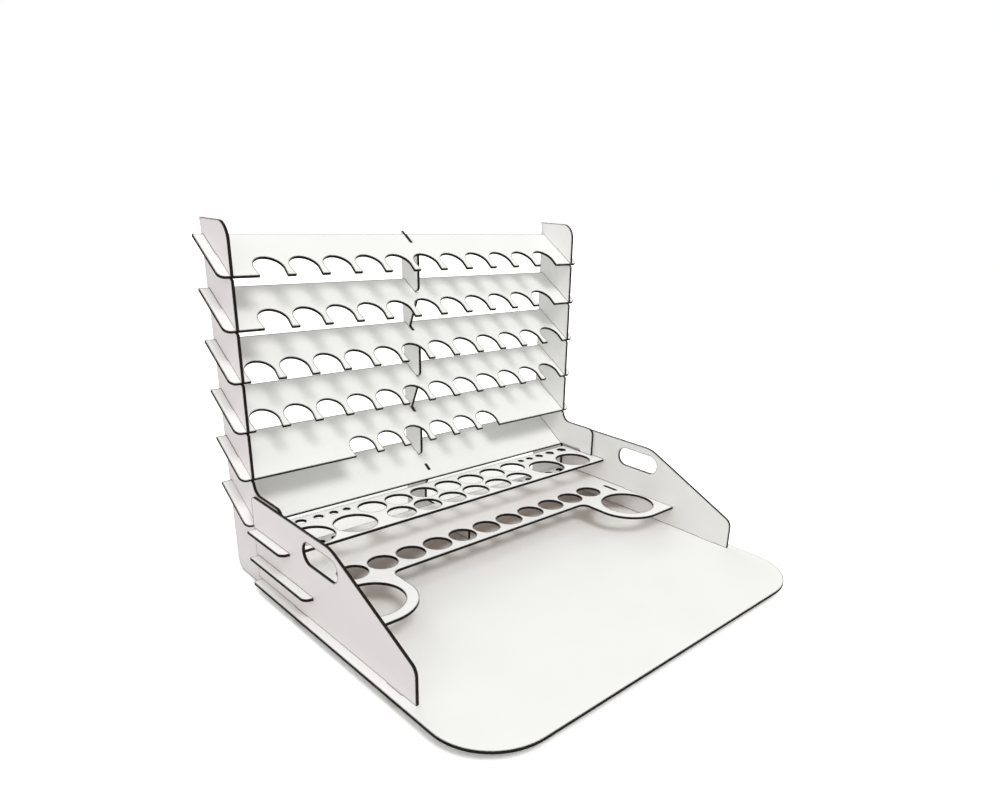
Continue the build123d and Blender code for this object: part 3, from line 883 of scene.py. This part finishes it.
notched_plate = make_notched_plate()
print("node tree:", notched_plate.name, "with", len(notched_plate.nodes), "nodes")

# %% [markdown]
# Now the tree makes the plates. A plate's width, depth, tilt and place come from the CAD board that it
# stands for, and the rest are the sizes of the notches and slots. The modifier is given its numbers
# before anything asks for the shape, the finished mesh is taken from the evaluated object, and then the
# modifier goes. The printed gap is how far the new plate's box is from the board's, and the two volumes
# are the new plate's and the board's.

# %% Notched plates
notch_sizes = {
    "Ear Radius": 7.0 * MM, "Notch Pitch": 38.5 * MM, "Notch Radius": 15.8 * MM, "Notch Depth": 28.0 * MM,
    "Notch Mouth": 29.2 * MM, "Slot Width": 3.2 * MM, "Side Slot Place": 235.5 * MM,
    "Side Slot Start": 32.9 * MM, "Middle Slot Start": 48.9 * MM}
notch_counts = {
    "rack_plate_1": 11, "rack_plate_2": 11, "rack_plate_3": 12, "rack_plate_4": 12, "rack_plate_5": 6}


def piece_from_tree(name, tree, values):
    """Object whose mesh is the tree's result for these values."""
    piece = bpy.data.objects.new(name, bpy.data.meshes.new(name))
    bpy.context.scene.collection.objects.link(piece)
    modifier = piece.modifiers.new("shape", "NODES")
    modifier.node_group = tree
    for item in tree.interface.items_tree:
        if item.in_out == "INPUT":
            modifier[item.identifier] = values[item.name]
    shaped = piece.evaluated_get(bpy.context.evaluated_depsgraph_get())
    mesh = bpy.data.meshes.new_from_object(shaped)
    piece.modifiers.clear()
    piece.data = mesh
    return piece


def make_plate(name, notch_count, material):
    """Notched plate in place of the CAD board of this name."""
    low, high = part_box(name)
    tilt = plate_tilt(name)
    half = sheet_thickness / 2
    front = Vector((0.0, low.y + half * sin(tilt), low.z + half * cos(tilt)))
    depth = (high.y - low.y - sheet_thickness * sin(tilt)) / cos(tilt)
    values = dict(notch_sizes)
    values.update({"Width": high.x - low.x, "Depth": depth, "Thickness": sheet_thickness, "Tilt": tilt,
                   "Place": front, "Notch Count": notch_count, "Material": material})
    plate = piece_from_tree("notched_" + name[5:], notched_plate, values)
    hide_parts(name)
    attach(plate, "root")
    return plate


def volume_of(mesh):
    """Volume inside a closed mesh."""
    work = bmesh.new()
    work.from_mesh(mesh)
    volume = work.calc_volume()
    work.free()
    return volume


def report_plate(plate, name):
    """Prints how well the plate agrees with the CAD board of this name."""
    low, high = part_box(name)
    points = [vertex.co for vertex in plate.data.vertices]
    gap = 0.0
    for axis in range(3):
        places = [point[axis] for point in points]
        gap = max(gap, abs(min(places) - low[axis]), abs(max(places) - high[axis]))
    volumes = [round(volume_of(mesh) / MM ** 3) for mesh in (plate.data, boards[name].data)]
    print(plate.name, "points", len(points), "gap", round(gap / MM, 4), "mm, volumes", volumes, "mm3")


for name in rack_plates:
    seed += seed_step
    tilt = plate_tilt(name)
    upward = Vector((0.0, -sin(tilt), cos(tilt)))
    finish = board_finish(name, upward, seed, underside="backing")
    if name in notch_counts:
        report_plate(make_plate(name, notch_counts[name], finish), name)
    else:
        finish_board(name, finish)
